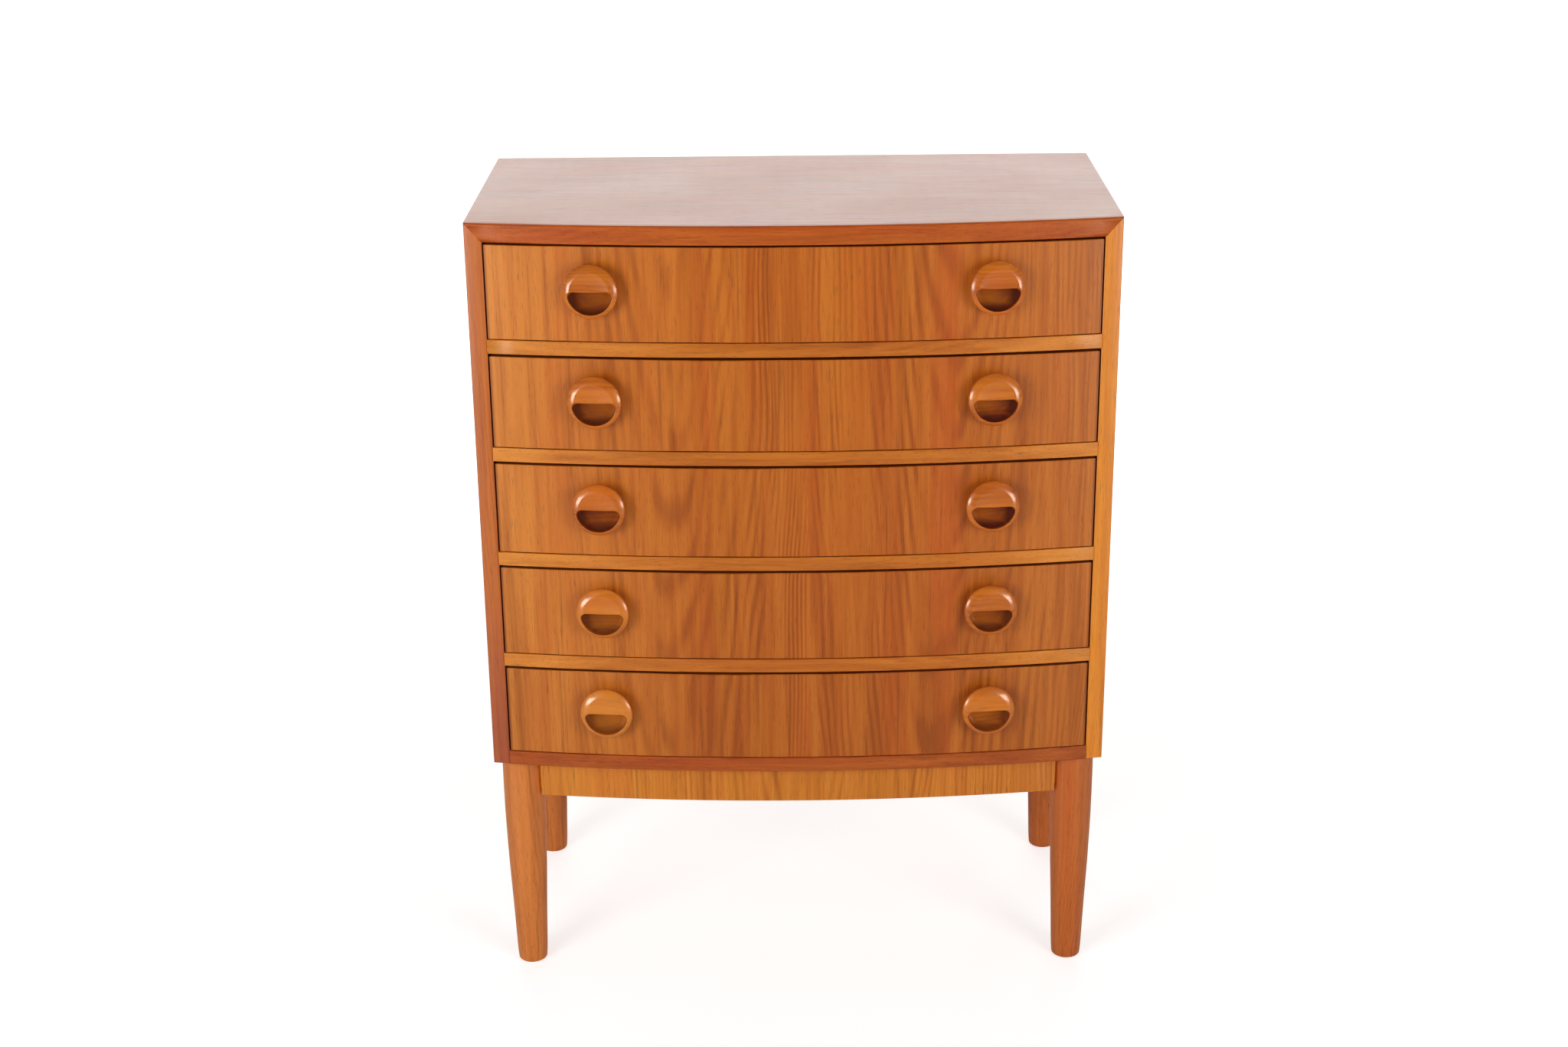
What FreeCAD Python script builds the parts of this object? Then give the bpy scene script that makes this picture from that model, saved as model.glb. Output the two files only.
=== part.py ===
import FreeCAD, Part
import math
import os

from FreeCAD import Vector

# Chest of five drawers with a bowed front, on a separate base frame with four turned legs.
# Millimetres, +Z up. The front faces -Y and left is -X, as seen by someone in front of it.
# The origin is on the floor, under the middle of the whole chest with its knobs.

# Driving dimensions of the carcass
carcass_width = 740.0
carcass_depth = 354.0
carcass_height = 670.0
front_bow = 30.0
side_thickness = 20.0
top_thickness = 22.0
bottom_thickness = 18.0
lipping_depth = 8.0
glue_line = 0.05
lipping_ease = 1.6

# Front rails between the drawers, with a stub tenon at each end
drawer_count = 5
rail_height = 17.0
rail_depth = 50.0
rail_ease = 0.8
stub_length = 7.0
stub_shoulder = 3.0
stub_inset = 10.0

# Bottom board's tongue in the sides
tongue_length = 7.0
tongue_thickness = 8.0

# Back panel in its rebate
back_panel_thickness = 6.0
back_panel_inset = 1.0
rebate_width = 8.0
back_panel_play = 0.3

# Runners and stops behind the rails
runner_width = 22.0
stop_depth = 10.0
stop_height = 14.0

# Drawers
drawer_front_thickness = 20.0
drawer_front_set_back = 0.5
drawer_front_ease = 1.0
drawer_side_thickness = 12.0
drawer_back_thickness = 12.0
drawer_bottom_thickness = 5.0
drawer_bottom_height = 9.0
drawer_groove_depth = 6.0
drawer_groove_play = 0.3
drawer_back_drop = 8.0
gap_over_top_front = 2.2
gap_over_front = 3.0
gap_under_front = 0.5
gap_beside_front = 1.7
gap_over_side = 4.0
drawer_side_play = 2.0
running_clearance = 0.3

# Dovetails at the corners of the drawers
front_tail_length = 13.0
front_tail_count = 3
back_tail_count = 3
tail_width_share = 0.76
tail_slope = 1.0 / 6.0

# Turned knobs with a half-moon finger recess, their spacing a share of the carcass width
knob_spacing_share = 0.612
knob_above_middle = 7.0
knob_diameter = 62.5
knob_neck_diameter = 48.0
knob_height = 20.0
knob_rim_bevel = 2.5
knob_rim_width = 4.5
knob_dish_depth = 2.0
knob_dish_slope_width = 2.0
knob_spigot_diameter = 16.0
knob_spigot_length = 11.0
knob_spigot_play = 0.08
knob_bore_play = 0.5
recess_wall = 6.5
recess_floor = 8.0
recess_corner_round = 5.0
recess_undercut = 5.0
recess_lip_thickness = 6.0
recess_lip_drop = 1.0

# Base frame
leg_height = 288.0
leg_inset = 31.5
leg_top_diameter = 50.4
leg_waist_diameter = 48.8
leg_foot_diameter = 36.4
leg_full_height = 225.0
leg_waist_height = 175.0
foot_ease = 2.0
apron_height = 50.0
apron_thickness = 20.0
front_apron_set_back = 21.0
apron_face_offset = 18.0
apron_shoulder_offset = 23.5
tenon_length = 19.0
tenon_thickness = 9.0
tenon_shoulder = 7.0

# Glue blocks inside the base frame, and the screws that hold the carcass on it
block_width = 20.0
block_height = 22.0
block_length = 60.0
block_place_share = 0.25
screw_shank_diameter = 4.4
screw_grip = 12.0
screw_play = 0.1

# One overrun for every cutting tool that has to reach past a face
overrun = 5.0

# Half sizes and the circle that the bowed front lies on
half_width = carcass_width / 2
inner_half_width = half_width - side_thickness
bow_radius = (half_width ** 2 + front_bow ** 2) / (2 * front_bow)
knob_radius = knob_diameter / 2
knob_spacing = knob_spacing_share * carcass_width
drawer_front_radius = bow_radius - drawer_front_set_back
drawer_inner_radius = drawer_front_radius - drawer_front_thickness
knob_angle = math.asin(knob_spacing / 2 / drawer_front_radius)


def rise_of_bow(x, radius):
    """How far the front at x lies before the line through the carcass's front corners."""
    return math.sqrt(radius ** 2 - x ** 2) - (bow_radius - front_bow)


# The knobs stand furthest forward, so the depth of the whole chest counts them
rim_reach = knob_height * math.cos(knob_angle) + (knob_radius - knob_rim_bevel) * math.sin(knob_angle)
knob_reach = rise_of_bow(knob_spacing / 2, drawer_front_radius) + rim_reach
overall_depth = carcass_depth + max(knob_reach, front_bow)
back_y = overall_depth / 2
chord_y = back_y - carcass_depth
bow_centre_y = chord_y - front_bow + bow_radius

# Heights
carcass_floor = leg_height
carcass_top = leg_height + carcass_height
top_underside = carcass_top - top_thickness
bottom_upside = carcass_floor + bottom_thickness
rails_height = (drawer_count - 1) * rail_height
opening_height = (top_underside - bottom_upside - rails_height) / drawer_count

# Depths
back_panel_back = back_y - back_panel_inset
back_panel_front = back_panel_back - back_panel_thickness
rail_back_y = chord_y + rail_depth
drawer_back_y = back_panel_front - stop_depth - running_clearance


def box(x_low, x_high, y_low, y_high, z_low, z_high):
    """Block between two corners."""
    size = (x_high - x_low, y_high - y_low, z_high - z_low)
    return Part.makeBox(size[0], size[1], size[2], Vector(x_low, y_low, z_low))


def arc_y(x, radius):
    """Y of the bow's circle of this radius at x."""
    return bow_centre_y - math.sqrt(radius ** 2 - x ** 2)


def bow_arc(half, radius, z):
    """Arc from left to right, concentric with the bowed front."""
    end_y = arc_y(half, radius)
    crown_y = bow_centre_y - radius
    return Part.Arc(Vector(-half, end_y, z), Vector(0, crown_y, z), Vector(half, end_y, z)).toShape()


def raise_outline(edges, z_low, z_high):
    """Solid on a closed plan outline at z_low, up to z_high."""
    face = Part.Face(Part.Wire(edges))
    return face.extrude(Vector(0, 0, z_high - z_low))


def bowed_slab(half, radius, slab_back_y, z_low, z_high):
    """Board with a bowed front edge and a straight back edge."""
    end_y = arc_y(half, radius)
    front = bow_arc(half, radius, z_low)
    right = Part.makeLine(Vector(half, end_y, z_low), Vector(half, slab_back_y, z_low))
    back = Part.makeLine(Vector(half, slab_back_y, z_low), Vector(-half, slab_back_y, z_low))
    left = Part.makeLine(Vector(-half, slab_back_y, z_low), Vector(-half, end_y, z_low))
    return raise_outline([front, right, back, left], z_low, z_high)


def bowed_band(half, outer_radius, inner_radius, z_low, z_high):
    """Bent strip with the same bow on its front and its back."""
    outer_y = arc_y(half, outer_radius)
    inner_y = arc_y(half, inner_radius)
    front = bow_arc(half, outer_radius, z_low)
    right = Part.makeLine(Vector(half, outer_y, z_low), Vector(half, inner_y, z_low))
    back = bow_arc(half, inner_radius, z_low)
    left = Part.makeLine(Vector(-half, inner_y, z_low), Vector(-half, outer_y, z_low))
    return raise_outline([front, right, back, left], z_low, z_high)


def middle_of(edge):
    """Point halfway along an edge."""
    return edge.valueAt((edge.FirstParameter + edge.LastParameter) / 2)


def on_circle(point, radius):
    """True where a point lies on the bow's circle of this radius."""
    distance = math.hypot(point.x, point.y - bow_centre_y)
    return abs(distance - radius) < glue_line / 2


def ease_front(shape, radius, size):
    """Take the sharp edge off all round the bowed front face."""
    edges = []
    for edge in shape.Edges:
        points = [vertex.Point for vertex in edge.Vertexes] + [middle_of(edge)]
        if all(on_circle(point, radius) for point in points):
            edges.append(edge)
    return shape.makeChamfer(size, edges)


def ease_long_edges(shape, radius, size):
    """Take the sharp edge off only the two long edges of a bowed front face."""
    edges = []
    for edge in shape.Edges:
        points = [vertex.Point for vertex in edge.Vertexes] + [middle_of(edge)]
        level = max(point.z for point in points) - min(point.z for point in points)
        if level < size and all(on_circle(point, radius) for point in points):
            edges.append(edge)
    return shape.makeChamfer(size, edges)


def mirrored(shape):
    """The same piece for the left-hand side."""
    return shape.mirror(Vector(0, 0, 0), Vector(1, 0, 0))


def elevation_prism(points):
    """Solid on a closed outline of x, z points, through the whole depth and past it."""
    start = chord_y - front_bow - overrun
    corners = [Vector(x, start, z) for x, z in points]
    outline = Part.makePolygon(corners + corners[:1])
    return Part.Face(outline).extrude(Vector(0, back_y + overrun - start, 0))


def top_prism():
    """Elevation of the top, mitred at both ends."""
    return elevation_prism([
        (-half_width, carcass_top), (half_width, carcass_top),
        (inner_half_width, top_underside), (-inner_half_width, top_underside),
    ])


def side_prism():
    """Elevation of the right side, mitred at its upper end."""
    return elevation_prism([
        (half_width, carcass_top), (half_width, carcass_floor),
        (inner_half_width, carcass_floor), (inner_half_width, top_underside),
    ])


def panel_zone():
    """Everything behind the lippings."""
    return bowed_slab(half_width, bow_radius - lipping_depth - glue_line, back_y, carcass_floor, carcass_top)


def back_rebate():
    """Space that the back panel and its inset take out of the boards' inner edges."""
    reach = inner_half_width + rebate_width
    z_low = bottom_upside - rebate_width
    z_high = top_underside + rebate_width
    return box(-reach, reach, back_panel_front, back_y + overrun, z_low, z_high)


def opening_floor(number):
    """Height of the rail or board that drawer 1 to 5, from the top, stands on."""
    return top_underside - number * opening_height - (number - 1) * rail_height


def rail_stub(number):
    """Stub tenon at the right-hand end of the rail under this drawer."""
    z_high = opening_floor(number)
    y_low = arc_y(inner_half_width, bow_radius) + lipping_depth + stub_inset
    reach = inner_half_width + stub_length
    return box(inner_half_width, reach, y_low, rail_back_y - stub_inset,
               z_high - rail_height + stub_shoulder, z_high - stub_shoulder)


def bottom_tongue():
    """Tongue along the right-hand edge of the bottom board."""
    y_low = arc_y(inner_half_width, bow_radius) + lipping_depth + stub_inset
    z_low = carcass_floor + (bottom_thickness - tongue_thickness) / 2
    reach = inner_half_width + tongue_length
    return box(inner_half_width, reach, y_low, back_panel_front - stub_inset, z_low, z_low + tongue_thickness)


def make_top():
    """Top board and the solid lipping glued along its bowed front."""
    panel = top_prism().common(panel_zone()).cut(back_rebate())
    strip = bowed_band(half_width, bow_radius, bow_radius - lipping_depth, top_underside, carcass_top)
    lipping = ease_long_edges(strip, bow_radius, lipping_ease).common(top_prism())
    return {"top_panel": panel, "top_lipping": lipping}


def make_sides():
    """Side boards with housings for the rails and the bottom, and their lippings."""
    panel = side_prism().common(panel_zone()).cut(back_rebate()).cut(bottom_tongue())
    for number in range(1, drawer_count):
        panel = panel.cut(rail_stub(number))
    band = bowed_band(half_width, bow_radius, bow_radius - lipping_depth, carcass_floor, carcass_top)
    inner = box(inner_half_width, half_width, chord_y - front_bow, back_y, carcass_floor, carcass_top)
    lipping = ease_front(band.common(inner), bow_radius, lipping_ease).common(side_prism())
    return {
        "left_side_panel": mirrored(panel), "right_side_panel": panel,
        "left_lipping": mirrored(lipping), "right_lipping": lipping,
    }


def make_bottom():
    """Bottom board between the sides, with its lipping and the pilot holes of the base screws."""
    panel_radius = bow_radius - lipping_depth - glue_line
    panel = bowed_slab(inner_half_width, panel_radius, back_y, carcass_floor, bottom_upside)
    panel = panel.fuse([bottom_tongue(), mirrored(bottom_tongue())]).removeSplitter()
    panel = panel.cut(back_rebate())
    for place in screw_places():
        panel = panel.cut(screw_hole(place, carcass_floor, screw_grip))
    strip = bowed_band(inner_half_width, bow_radius, bow_radius - lipping_depth, carcass_floor, bottom_upside)
    return {"bottom_panel": panel, "bottom_lipping": ease_long_edges(strip, bow_radius, rail_ease)}


def make_back_panel():
    """Plywood back, set into the rebate from behind."""
    reach = inner_half_width + rebate_width - back_panel_play
    z_low = bottom_upside - rebate_width + back_panel_play
    z_high = top_underside + rebate_width - back_panel_play
    return {"back_panel": box(-reach, reach, back_panel_front, back_panel_back, z_low, z_high)}


def make_rails():
    """Bowed front rails between the drawers, stub-tenoned into the sides."""
    rails = {}
    for number in range(1, drawer_count):
        z_high = opening_floor(number)
        rail = bowed_slab(inner_half_width, bow_radius, rail_back_y, z_high - rail_height, z_high)
        rail = ease_long_edges(rail, bow_radius, rail_ease)
        stub = rail_stub(number)
        rails["rail_%d" % number] = rail.fuse([stub, mirrored(stub)]).removeSplitter()
    return rails


def make_runners():
    """Strips on the inside of the carcass that the upper drawers slide on, one set a side."""
    strips = []
    for number in range(1, drawer_count):
        z_high = opening_floor(number)
        strips.append(box(inner_half_width - runner_width, inner_half_width, rail_back_y,
                          back_panel_front, z_high - rail_height, z_high))
    right = Part.makeCompound(strips)
    left = Part.makeCompound([mirrored(strip) for strip in strips])
    return {"left_runners": left, "right_runners": right}


def make_stops():
    """Blocks behind each drawer that set how far it closes."""
    blocks = []
    for number in range(1, drawer_count + 1):
        z_low = opening_floor(number)
        block = box(inner_half_width - runner_width, inner_half_width, back_panel_front - stop_depth,
                    back_panel_front, z_low, z_low + stop_height)
        blocks += [block, mirrored(block)]
    return {"drawer_stops": Part.makeCompound(blocks)}


def tail_outline(y_root, y_end, z_middle, tip_width):
    """Dovetail seen from the side: narrow at its root and wide at its end."""
    root_width = tip_width - 2 * abs(y_end - y_root) * tail_slope
    return [
        (y_root, z_middle - root_width / 2), (y_end, z_middle - tip_width / 2),
        (y_end, z_middle + tip_width / 2), (y_root, z_middle + root_width / 2),
    ]


def tails(x_low, x_high, y_root, y_end, z_low, z_high, count):
    """Row of dovetails through a drawer side's thickness."""
    pitch = (z_high - z_low) / count
    solids = []
    for index in range(count):
        middle = z_low + (index + 0.5) * pitch
        outline = tail_outline(y_root, y_end, middle, pitch * tail_width_share)
        corners = [Vector(x_low, y, z) for y, z in outline]
        face = Part.Face(Part.makePolygon(corners + corners[:1]))
        solids.append(face.extrude(Vector(x_high - x_low, 0, 0)))
    return solids


class DrawerPlan:
    """The sizes that the pieces of one drawer share."""

    def __init__(self, number):
        floor = opening_floor(number)
        ceiling = floor + opening_height
        self.front_low = floor + gap_under_front
        self.front_high = ceiling - (gap_over_top_front if number == 1 else gap_over_front)
        self.front_half = inner_half_width - gap_beside_front
        self.outer = inner_half_width - drawer_side_play
        self.inner = self.outer - drawer_side_thickness
        self.side_low = floor + running_clearance
        self.side_high = ceiling - gap_over_side
        self.land_y = arc_y(self.inner, drawer_inner_radius)
        self.bottom_low = floor + drawer_bottom_height
        self.bottom_high = self.bottom_low + drawer_bottom_thickness
        self.back_high = self.side_high - drawer_back_drop
        self.back_front = drawer_back_y - drawer_back_thickness
        self.knob_z = (self.front_low + self.front_high) / 2 + knob_above_middle


def front_tails(plan):
    """Tails of the right-hand side in the back of the drawer front."""
    return tails(plan.inner, plan.outer, plan.land_y, plan.land_y - front_tail_length,
                 plan.side_low + gap_under_front, plan.side_high, front_tail_count)


def back_pins(plan):
    """Pins at the right-hand end of the drawer's back, between the tails of the side."""
    end = box(plan.inner, plan.outer, plan.back_front, drawer_back_y, plan.bottom_high, plan.back_high)
    return end.cut(tails(plan.inner, plan.outer, plan.back_front, drawer_back_y,
                         plan.bottom_high, plan.back_high, back_tail_count))


def bottom_outline(plan, play):
    """Drawer bottom in its grooves, short of the groove's floor by the play."""
    reach = plan.inner + drawer_groove_depth - play
    radius = drawer_inner_radius + drawer_groove_depth - play
    return bowed_slab(reach, radius, drawer_back_y, plan.bottom_low, plan.bottom_high)


def seat_on_front(shape, side, z):
    """Move a turned piece from the origin to its place, square to the bowed front."""
    x = side * knob_spacing / 2
    placed = shape.copy()
    placed.rotate(Vector(0, 0, 0), Vector(0, 0, 1), side * math.degrees(knob_angle))
    placed.translate(Vector(x, arc_y(x, drawer_front_radius), z))
    return placed


def make_drawer_front(plan):
    """Bowed front with dovetail sockets, the bottom's groove and the knobs' bores."""
    front = bowed_band(plan.front_half, drawer_front_radius, drawer_inner_radius,
                       plan.front_low, plan.front_high)
    front = ease_front(front, drawer_front_radius, drawer_front_ease)
    land = box(plan.inner, plan.front_half + overrun, plan.land_y, plan.land_y + drawer_front_thickness,
               plan.front_low - overrun, plan.front_high + overrun)
    front = front.cut([land, mirrored(land), bottom_outline(plan, 0)])
    sockets = front_tails(plan)
    front = front.cut(sockets + [mirrored(socket) for socket in sockets])
    bore_radius = knob_spigot_diameter / 2 + knob_spigot_play
    bore_depth = knob_spigot_length + knob_bore_play
    bore = Part.makeCylinder(bore_radius, bore_depth + overrun, Vector(0, bore_depth, 0), Vector(0, -1, 0))
    return front.cut([seat_on_front(bore, -1, plan.knob_z), seat_on_front(bore, 1, plan.knob_z)])


def make_drawer_side(plan):
    """Right-hand side, dovetailed at both ends and grooved for the bottom."""
    side = box(plan.inner, plan.outer, plan.land_y, drawer_back_y, plan.side_low, plan.side_high)
    side = side.fuse(front_tails(plan)).removeSplitter()
    return side.cut([bottom_outline(plan, 0), back_pins(plan)])


def make_drawer_back(plan):
    """Back that stands on the bottom, with pins at both ends."""
    board = box(-plan.inner, plan.inner, plan.back_front, drawer_back_y, plan.bottom_high, plan.back_high)
    pins = back_pins(plan)
    return board.fuse([pins, mirrored(pins)]).removeSplitter()


def half_moon(radius, flat_z, y_low, y_high):
    """Half disc below a level line, through a stretch of the knob's depth, with eased corners."""
    half = math.sqrt(radius ** 2 - flat_z ** 2)
    left = Vector(-half, y_low, flat_z)
    right = Vector(half, y_low, flat_z)
    arc = Part.Arc(left, Vector(0, y_low, -radius), right).toShape()
    face = Part.Face(Part.Wire([arc, Part.makeLine(right, left)]))
    solid = face.extrude(Vector(0, y_high - y_low, 0))
    corners = []
    for edge in solid.Edges:
        if abs(middle_of(edge).z - flat_z) < glue_line and abs(abs(middle_of(edge).x) - half) < glue_line:
            corners.append(edge)
    return solid.makeFillet(recess_corner_round, corners)


def finger_recess():
    """Cutter of the half-moon recess, with the undercut behind its lip."""
    radius = knob_radius - recess_wall
    floor_y = -recess_floor
    lip_back_y = -(knob_height - knob_dish_depth - recess_lip_thickness)
    mouth = half_moon(radius, -recess_lip_drop, -knob_height - overrun, lip_back_y)
    hollow = half_moon(radius, recess_undercut, lip_back_y, floor_y)
    return mouth.fuse(hollow)


def make_knob():
    """Turned knob with its spigot along +Y and its face towards -Y."""
    spigot_radius = knob_spigot_diameter / 2
    crest_radius = knob_radius - knob_rim_bevel
    dish_edge_radius = knob_radius - knob_rim_width
    dish_radius = dish_edge_radius - knob_dish_slope_width
    profile = [
        (0, knob_spigot_length), (spigot_radius, knob_spigot_length), (spigot_radius, 0),
        (knob_neck_diameter / 2, 0), (knob_radius, knob_rim_bevel - knob_height), (crest_radius, -knob_height),
        (dish_edge_radius, -knob_height), (dish_radius, knob_dish_depth - knob_height),
        (0, knob_dish_depth - knob_height),
    ]
    corners = [Vector(radius, y, 0) for radius, y in profile]
    face = Part.Face(Part.makePolygon(corners + corners[:1]))
    return face.revolve(Vector(0, 0, 0), Vector(0, 1, 0), 360).cut(finger_recess())


def make_drawer(number):
    """All the pieces of one drawer, counted from the top."""
    plan = DrawerPlan(number)
    side = make_drawer_side(plan)
    knob = make_knob()
    name = "drawer_%d_" % number
    return {
        name + "front": make_drawer_front(plan),
        name + "left_side": mirrored(side),
        name + "right_side": side,
        name + "back": make_drawer_back(plan),
        name + "bottom": bottom_outline(plan, drawer_groove_play),
        name + "left_knob": seat_on_front(knob, -1, plan.knob_z),
        name + "right_knob": seat_on_front(knob, 1, plan.knob_z),
    }


# Places of the base frame's pieces
leg_x = half_width - leg_inset
leg_front_y = chord_y + leg_inset
leg_back_y = back_y - leg_inset
apron_low = leg_height - apron_height
front_apron_radius = bow_radius - front_apron_set_back
side_apron_inner = leg_x + apron_face_offset - apron_thickness
tenon_low = apron_low + tenon_shoulder
tenon_high = leg_height - tenon_shoulder


def make_leg(x, y):
    """Turned leg: straight at its head, then drawn in by two tapers to an eased foot."""
    top_radius = leg_top_diameter / 2
    foot_radius = leg_foot_diameter / 2
    profile = [
        (0, 0), (foot_radius - foot_ease, 0), (foot_radius, foot_ease),
        (leg_waist_diameter / 2, leg_waist_height), (top_radius, leg_full_height),
        (top_radius, leg_height), (0, leg_height),
    ]
    corners = [Vector(radius, 0, z) for radius, z in profile]
    leg = Part.Face(Part.makePolygon(corners + corners[:1])).revolve(Vector(0, 0, 0), Vector(0, 0, 1), 360)
    leg.translate(Vector(x, y, 0))
    return leg


def make_front_apron():
    """Bent apron that follows the bow, with a tenon at each end."""
    half = leg_x - apron_shoulder_offset
    inner_radius = front_apron_radius - apron_thickness
    apron = bowed_band(half, front_apron_radius, inner_radius, apron_low, leg_height)
    middle_y = (arc_y(half, front_apron_radius) + arc_y(half, inner_radius)) / 2
    tenon = box(half, half + tenon_length, middle_y - tenon_thickness / 2, middle_y + tenon_thickness / 2,
                tenon_low, tenon_high)
    return apron.fuse([tenon, mirrored(tenon)]).removeSplitter()


def make_back_apron():
    """Straight apron between the back legs."""
    half = leg_x - apron_shoulder_offset
    outer_y = leg_back_y + apron_face_offset
    middle_y = outer_y - apron_thickness / 2
    apron = box(-half, half, outer_y - apron_thickness, outer_y, apron_low, leg_height)
    reach = half + tenon_length
    tenon = box(-reach, reach, middle_y - tenon_thickness / 2, middle_y + tenon_thickness / 2,
                tenon_low, tenon_high)
    return apron.fuse(tenon).removeSplitter()


def make_side_apron():
    """Straight apron between the right-hand legs."""
    y_low = leg_front_y + apron_shoulder_offset
    y_high = leg_back_y - apron_shoulder_offset
    middle_x = side_apron_inner + apron_thickness / 2
    apron = box(side_apron_inner, side_apron_inner + apron_thickness, y_low, y_high, apron_low, leg_height)
    tenon = box(middle_x - tenon_thickness / 2, middle_x + tenon_thickness / 2, y_low - tenon_length,
                y_high + tenon_length, tenon_low, tenon_high)
    return apron.fuse(tenon).removeSplitter()


def make_base_frame():
    """Four aprons tenoned into four legs, which are seated flat against the aprons' shoulders."""
    side = make_side_apron()
    aprons = {
        "front_apron": make_front_apron(), "back_apron": make_back_apron(),
        "left_apron": mirrored(side), "right_apron": side,
    }
    legs = {
        "front_left_leg": make_leg(-leg_x, leg_front_y), "front_right_leg": make_leg(leg_x, leg_front_y),
        "back_left_leg": make_leg(-leg_x, leg_back_y), "back_right_leg": make_leg(leg_x, leg_back_y),
    }
    for name in legs:
        legs[name] = legs[name].cut(list(aprons.values()))
    return {**aprons, **legs}


def screw_places():
    """Middle of each glue block in plan: two on each side apron."""
    middle_y = (leg_front_y + leg_back_y) / 2
    offset = (leg_back_y - leg_front_y) * block_place_share
    x = side_apron_inner - block_width / 2
    return [(side_x, middle_y + shift) for side_x in (-x, x) for shift in (-offset, offset)]


def screw_hole(place, z, length):
    """Cutter of a screw hole upwards from z."""
    radius = screw_shank_diameter / 2 + screw_play
    return Part.makeCylinder(radius, length + screw_play, Vector(place[0], place[1], z))


def make_blocks():
    """Glue blocks inside the side aprons, bored for the screws."""
    blocks = []
    low = carcass_floor - block_height
    for x, y in screw_places():
        block = box(x - block_width / 2, x + block_width / 2, y - block_length / 2, y + block_length / 2,
                    low, carcass_floor)
        blocks.append(block.cut(screw_hole((x, y), low, block_height)))
    return {"fixing_blocks": Part.makeCompound(blocks)}


def export(pieces):
    """Write each piece to a file of its own."""
    os.makedirs("parts", exist_ok=True)
    for name, shape in pieces.items():
        shape.exportStep("parts/%s.step" % name)


pieces = {}
for group in (make_top(), make_sides(), make_bottom(), make_back_panel(), make_rails(), make_runners(),
              make_stops(), make_base_frame(), make_blocks()):
    pieces.update(group)
for number in range(1, drawer_count + 1):
    pieces.update(make_drawer(number))
export(pieces)

print("pieces", len(pieces), "opening height", round(opening_height, 3))
for name, shape in sorted(pieces.items()):
    print(name, "solids", len(shape.Solids), "valid", shape.isValid(), "volume", round(shape.Volume))
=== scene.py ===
import math

import bpy
from mathutils import Matrix, Vector


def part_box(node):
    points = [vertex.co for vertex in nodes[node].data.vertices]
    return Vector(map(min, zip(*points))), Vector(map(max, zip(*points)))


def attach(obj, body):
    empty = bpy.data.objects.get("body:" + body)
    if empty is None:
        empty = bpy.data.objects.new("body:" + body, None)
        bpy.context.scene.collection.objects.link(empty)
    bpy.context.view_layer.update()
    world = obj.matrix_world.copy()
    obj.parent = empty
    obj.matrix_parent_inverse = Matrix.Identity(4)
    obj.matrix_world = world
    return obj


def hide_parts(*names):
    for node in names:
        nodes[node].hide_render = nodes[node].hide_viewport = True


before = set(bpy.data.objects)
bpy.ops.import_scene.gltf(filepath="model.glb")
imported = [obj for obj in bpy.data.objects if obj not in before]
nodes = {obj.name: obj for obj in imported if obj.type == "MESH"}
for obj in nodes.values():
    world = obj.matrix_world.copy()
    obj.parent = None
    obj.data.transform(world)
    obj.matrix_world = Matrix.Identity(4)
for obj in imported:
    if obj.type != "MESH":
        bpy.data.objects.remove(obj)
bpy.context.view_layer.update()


# Top of the carcass: a veneered board, mitred into the sides, with a solid teak lipping along its bowed
# front. The veneer's grain runs from side to side. It is oiled and waxed to a satin gloss.
def linear(red, green, blue):
    """A colour as seen on screen, 0 to 255, as the renderer wants it."""
    def channel(value):
        value = value / 255
        return value / 12.92 if value <= 0.04045 else ((value + 0.055) / 1.055) ** 2.4
    return (channel(red), channel(green), channel(blue), 1.0)


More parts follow.
